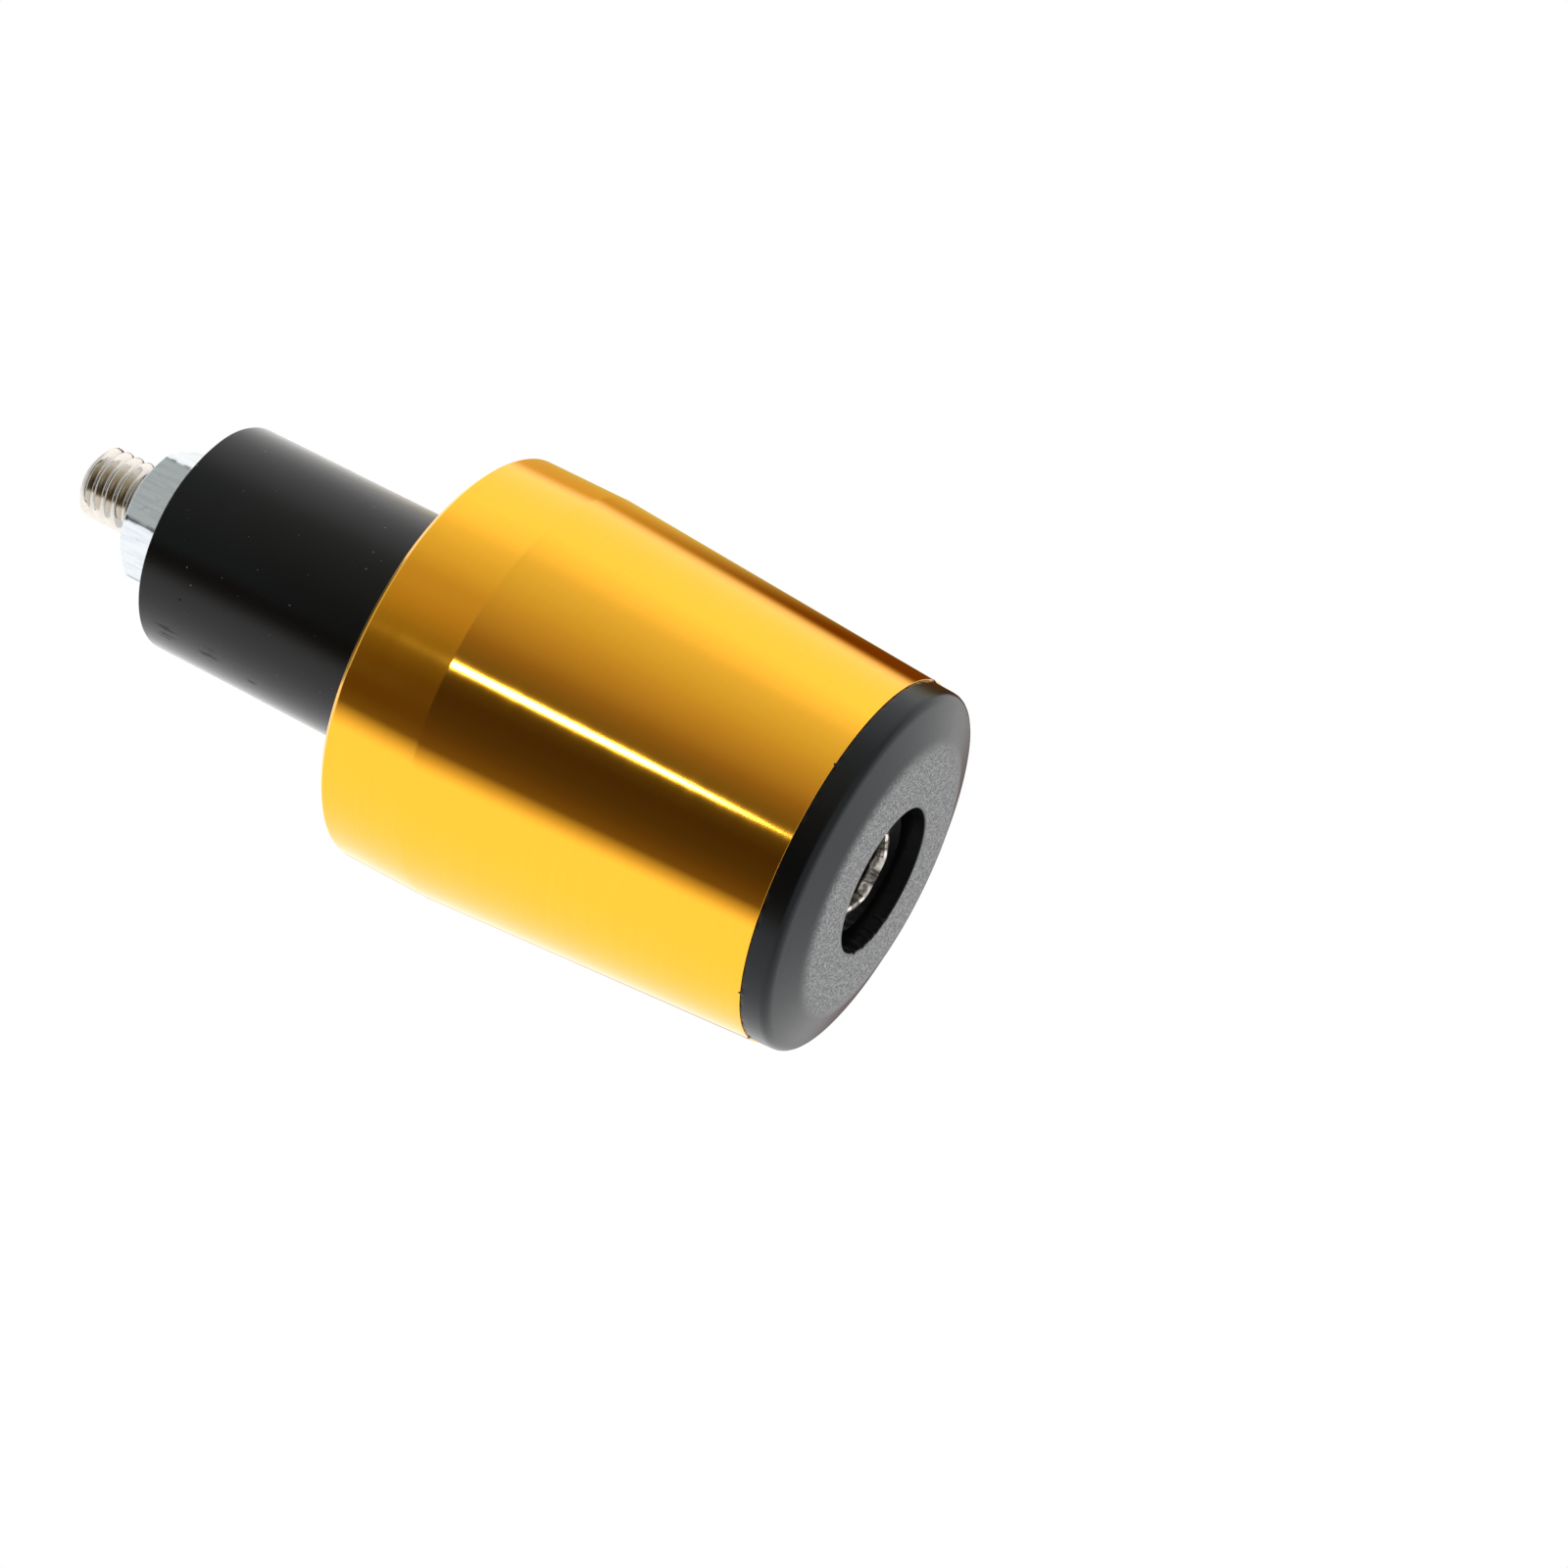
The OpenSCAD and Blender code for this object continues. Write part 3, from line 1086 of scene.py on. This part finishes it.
@dataclass
class RubberPlug:
    """The two rubber sleeves; the inner one forms a lip round the flange."""

    foot_z: float = 37.8
    end_z: float = 59.8
    outside_r: float = 9.35
    wall: float = 0.9
    gap: float = 0.1
    bore_r: float = 3.3
    seat_r: float = 7.18
    seat_z: float = 59.2
    lip: float = 0.4
    end_wave: float = 0.05
    side_wave: float = 0.02
    bore_wave: float = 0.04
    lip_wave: float = 0.07
    columns: int = 320
    outer_finish: BlackRubber = BlackRubber("satin_black_rubber")
    inner_finish: BlackRubber = BlackRubber("matt_black_rubber", roughness=0.4, shine=0.4)

    def build_outer(self) -> bpy.types.Object:
        """Run the tube's section; its cut end dips by a slow wave of the angle.

        Returns:
            The piece.
        """
        bore = self.outside_r - self.wall
        corners = [
            Corner(bore, self.foot_z, 0.04, 0.3),
            Corner(self.outside_r, self.foot_z, 0.04, 0.4),
            Corner(self.outside_r, self.end_z, 0.09, 0.15),
            Corner(bore, self.end_z, 0.08, 1.5),
        ]
        section = half_section(corners, self.columns, closed=True)
        a = angles(self.columns)
        r, z = section[..., 0], section[..., 1]
        end = window(z, self.end_z - 0.5, self.end_z + 1.0, 0.8)
        outside = r > self.outside_r - 0.3
        section[..., 1] -= self.end_wave * end * (1 + ripple(a, 21, (2, 9))) / 2
        section[..., 0] -= self.side_wave * outside * (1 + ripple(a, 22, (1, 6), z, 0.5)) / 2
        section[..., 0] += self.bore_wave * ~outside * end * (1 + ripple(a, 23, (3, 14))) / 2
        return build_piece("outer_rubber_sleeve", [Patch(turn(section))], crease=60)

    def build_inner(self) -> bpy.types.Object:
        """Run the inner sleeve's section; its lip dips by a wave of the angle.

        Returns:
            The piece.
        """
        outside = self.outside_r - self.wall - self.gap
        corners = [
            Corner(self.bore_r, self.foot_z, 0.04, 0.5),
            Corner(outside, self.foot_z, 0.04, 1.5),
            Corner(outside, self.end_z, 0.08, 0.15),
            Corner(self.seat_r, self.end_z, self.lip, 0.15),
            Corner(self.seat_r, self.seat_z, 0.03, 0.5),
            Corner(self.bore_r, self.seat_z, 0.04, 1.5),
        ]
        section = half_section(corners, self.columns, closed=True)
        a = angles(self.columns)
        r, z = section[..., 0], section[..., 1]
        end = window(z, self.end_z - 0.4, self.end_z + 1.0, 0.5) * (r > self.seat_r - 0.05)
        section[..., 1] -= self.lip_wave * end * (1 + ripple(a, 31, (2, 12))) / 2
        return build_piece("inner_rubber_sleeve", [Patch(turn(section))], crease=60)

    def fit(self) -> None:
        """Build and dress both sleeves."""
        end = self.end_z * MM
        hand_over(self.build_inner(), Finish.INNER_SLEEVE, self.inner_finish.dress(end))
        hand_over(self.build_outer(), Finish.OUTER_SLEEVE, self.outer_finish.dress(end))


# The studio


@dataclass(frozen=True)
class Surround:
    """The studio as the part's surfaces mirror it.

    Each panel is a direction round +Z, in degrees, and how bright the studio is
    there, low down and higher up. White panels stand on two sides, dark cloth on
    the others, and the wall above the cloth is a little lighter. A warm card
    stands near the taper. Every other pair is two angles in degrees, round +Z or
    up from level: where something begins to show, and where it is whole.
    """

    panels: tuple[tuple[float, Any, Any], ...] = (
        (-180, (0.075, 0.055, 0.04), (0.12, 0.082, 0.03)),
        (-168, (0.061, 0.040, 0.03), (0.135, 0.088, 0.03)),
        (-157, (0.088, 0.073, 0.05), (0.20, 0.155, 0.05)),
        (-147, (0.18, 0.148, 0.11), (0.31, 0.25, 0.10)),
        (-137, (0.285, 0.215, 0.17), (0.45, 0.36, 0.18)),
        (-127, (0.43, 0.363, 0.29), (0.53, 0.44, 0.28)),
        (-117, (0.54, 0.486, 0.40), (0.56, 0.48, 0.34)),
        (-107, (0.65, 0.63, 0.50), (0.70, 0.66, 0.50)),
        (-97, (0.74, 0.76, 0.66), (0.80, 0.80, 0.66)),
        (-88, (0.84, 0.86, 0.80), (0.92, 0.94, 0.84)),
        (-78, 1.1, 1.2),
        (-66, 1.32, 1.32),
        (150, 1.32, 1.32),
        (157, (0.70, 0.64, 0.52), (0.75, 0.70, 0.60)),
        (163, (0.17, 0.125, 0.08), (0.17, 0.13, 0.08)),
        (172, (0.108, 0.075, 0.055), (0.12, 0.08, 0.03)),
        (180, (0.075, 0.055, 0.04), (0.12, 0.082, 0.03)),
    )
    card: Triple = (0.17, 0.05, 0.0)
    card_edge: Triple = (0.72, 0.52, 0.1)
    wall: Triple = (0.56, 0.66, 0.71)
    table: float = 1.4
    table_far: float = 0.8
    ceiling: float = 0.9
    higher: Span = (19, 25)
    card_left: Span = (-28, -13)
    card_right: Span = (46, 32)
    card_top: Span = (24.9, 23.7)
    card_foot: Span = (-8, 2)
    core_left: Span = (-22, -9)
    core_top: Span = (21, 15.8)
    wall_side: Span = (-85, -100)
    wall_foot: Span = (26.5, 28.5)
    ceiling_edge: Span = (45, 75)
    table_edge: Span = (-8, -16)
    bare_left: Span = (-80, -35)
    bare_right: Span = (160, 110)

    def hang(self) -> None:
        """White for the camera; the panels for everything else."""
        world = bpy.data.worlds.new("studio")
        bpy.context.scene.world = world
        world.use_nodes = True
        b = Bench(world.node_tree)
        ray = b.add("ShaderNodeTexCoord", out="Generated")
        x, y, z = b.split(ray)
        place = y.angle_from(x) / (2 * math.pi) + 0.5
        height = z.arcsine() * (180 / math.pi)
        low, high = [
            b.ramp(place, [((panel[0] + 180) / 360, panel[side]) for panel in self.panels])
            for side in (1, 2)
        ]
        around = b.mix(height.between(*self.higher), low, high)
        turned = (place - 0.5) * 360
        patch = turned.between(*self.card_left) * turned.between(*self.card_right)
        patch = patch * height.between(*self.card_top) * height.between(*self.card_foot)
        core = turned.between(*self.core_left) * height.between(*self.core_top)
        warm = b.mix(core, self.card_edge, self.card)
        lit = b.mix(patch, around, warm)
        wall = turned.between(*self.wall_side) * height.between(*self.wall_foot)
        lit = b.mix(wall, lit, self.wall)
        lit = b.mix(height.between(*self.ceiling_edge), lit, self.ceiling)
        bare = turned.between(*self.bare_left) * turned.between(*self.bare_right)
        table = b.mix(bare, self.table_far, self.table)
        lit = b.mix(height.between(*self.table_edge), lit, table)
        seen = b.add("ShaderNodeLightPath", out="Is Camera Ray")
        shown = b.mix(seen, lit, 1.0)
        sky = b.add("ShaderNodeBackground", sockets={"Color": shown, "Strength": 1.0})
        b.add("ShaderNodeOutputWorld", sockets={"Surface": sky})


@dataclass(frozen=True)
class Floor:
    """A plain pale floor, which a camera under it looks through."""

    z: float = -0.02
    reach: float = 6000.0
    tone: float = 0.86

    def lay(self) -> None:
        """Lay the floor just under the part; it blocks no light."""
        corner = np.array([[-1, -1], [1, -1], [1, 1], [-1, 1]], float) * self.reach
        verts = np.column_stack([corner, np.full(4, self.z)]) * MM
        mesh = bpy.data.meshes.new("floor")
        mesh.from_pydata(verts.tolist(), [], [(0, 1, 2, 3)])
        made, b = material("pale_floor")
        path = b.add("ShaderNodeLightPath", out="Is Camera Ray")
        under = b.add("ShaderNodeNewGeometry", out="Backfacing")
        pale = b.add("ShaderNodeBsdfDiffuse", sockets={"Color": rgba(self.tone)})
        clear = b.add("ShaderNodeBsdfTransparent")
        shown = path * (1.0 - under)
        both = b.add("ShaderNodeMixShader", sockets={0: shown, 1: clear, 2: pale})
        b.add("ShaderNodeOutputMaterial", sockets={"Surface": both})
        mesh.materials.append(made)
        put("floor", mesh)


@dataclass(frozen=True)
class SpotLamp:
    """The small lamp that draws the white streak, and lights the barrel alone."""

    azimuth: float = -153.6
    height: float = 14.2
    distance: float = 600.0
    across: float = 28.0
    tall: float = 114.0
    power: float = 0.3
    aim_z: float = 18.0

    def hang(self, lit: Sequence[bpy.types.Object]) -> None:
        """Point the lamp at the middle of the barrel.

        Args:
            lit: The only pieces that it lights.
        """
        a, e = math.radians(self.azimuth), math.radians(self.height)
        way = Vector((math.cos(a) * math.cos(e), math.sin(a) * math.cos(e), math.sin(e)))
        lamp = bpy.data.lights.new("small_lamp", "AREA")
        lamp.shape = "ELLIPSE"
        lamp.size, lamp.size_y = self.across * MM, self.tall * MM
        lamp.energy = self.power
        hung = put("small_lamp", lamp)
        target = Vector((0.0, 0.0, self.aim_z * MM))
        hung.location = target + way * self.distance * MM
        hung.rotation_euler = way.to_track_quat("Z", "Y").to_euler()
        hung.visible_camera = False
        receivers = bpy.data.collections.new("lit_by_small_lamp")
        for piece in lit:
            receivers.objects.link(piece)
        hung.light_linking.receiver_collection = receivers


@dataclass(frozen=True)
class Camera:
    """The photograph's camera, in the frame of the part."""

    place: Triple = (-221.6334, -117.3768, -70.5202)
    right: Triple = (0.44929883, -0.27715534, -0.84930294)
    up: Triple = (0.28522151, -0.85640928, 0.43036245)
    back: Triple = (-0.84662817, -0.43560081, -0.30573302)
    lens: float = 83.443
    sensor: float = 36.0
    clip: Span = (0.005, 10.0)

    def set_up(self) -> None:
        """Put the camera at its place, turned by its three axes."""
        eye = bpy.data.cameras.new("camera")
        eye.lens, eye.sensor_width = self.lens, self.sensor
        eye.clip_start, eye.clip_end = self.clip
        holder = put("camera", eye)
        axes = Matrix((self.right, self.up, self.back)).transposed().to_4x4()
        holder.matrix_world = Matrix.Translation(Vector(self.place) * MM) @ axes
        bpy.context.scene.camera = holder


def main() -> None:
    """Build the part, the studio and the camera."""
    logging.basicConfig(level=logging.INFO, format="%(name)s: %(message)s")
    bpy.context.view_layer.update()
    for assembly in (Barrel(), EndCap(), SocketScrew(), FlangeNut(), RubberPlug()):
        assembly.fit()
    Surround().hang()
    Floor().lay()
    SpotLamp().hang([bpy.data.objects["gold_barrel"]])
    Camera().set_up()
    bpy.context.scene.view_settings.view_transform = "Standard"


if __name__ == "__main__":
    main()
